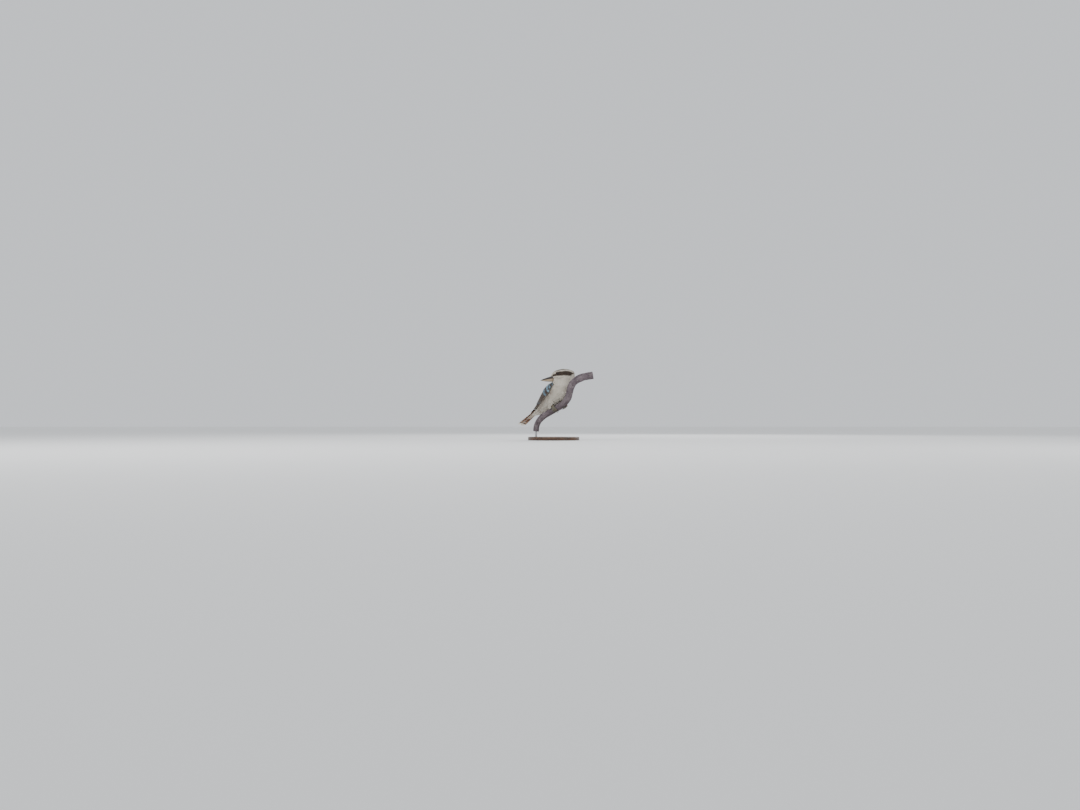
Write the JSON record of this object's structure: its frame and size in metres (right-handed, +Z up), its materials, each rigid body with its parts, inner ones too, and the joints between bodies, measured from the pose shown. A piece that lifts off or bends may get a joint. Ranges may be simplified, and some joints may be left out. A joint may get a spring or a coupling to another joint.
{
  "type": "laughing kookaburra, perched",
  "caption": "Life-size still model of a laughing kookaburra that looks back over its shoulder, gripping a short cut length of branch on a rod and a round base.",
  "frame": {"origin": "centre of the underside of the round base, on the surface that it stands on", "axes": "+Z up, -Y towards the viewer of the picture, +X to the viewer's right. The bird's body faces between +X and -Y and its bill points to -X."},
  "size_m": [0.318, 0.2666, 0.2969],
  "materials": {
    "plumage_white": "matt off-white body feathers",
    "wing_brown": "dark brown wing feathers with pale blue tips on the coverts",
    "tail_barred": "rufous tail feathers with black bars and white tips",
    "bill_black": "smooth horn, satin",
    "bill_horn": "smooth horn, satin",
    "eye": "wet, glossy",
    "foot_skin": "scaly skin with dark claws",
    "bark": "weathered bark, cut ends bare",
    "base_wood": "dark satin varnish",
    "rod_steel": "plain rod"
  },
  "bodies": {
    "root": {"head": "plumage_white", "neck": "plumage_white", "torso": "plumage_white", "thigh_left": "plumage_white", "thigh_right": "plumage_white", "wing_left": "wing_brown", "wing_right": "wing_brown", "tail": "tail_barred", "bill_upper": "bill_black", "bill_lower": "bill_horn", "eye_left": "eye", "eye_right": "eye", "foot_left": "foot_skin", "foot_right": "foot_skin", "perch": "bark", "stand_base": "base_wood", "stand_rod": "rod_steel"}
  },
  "joints": []
}
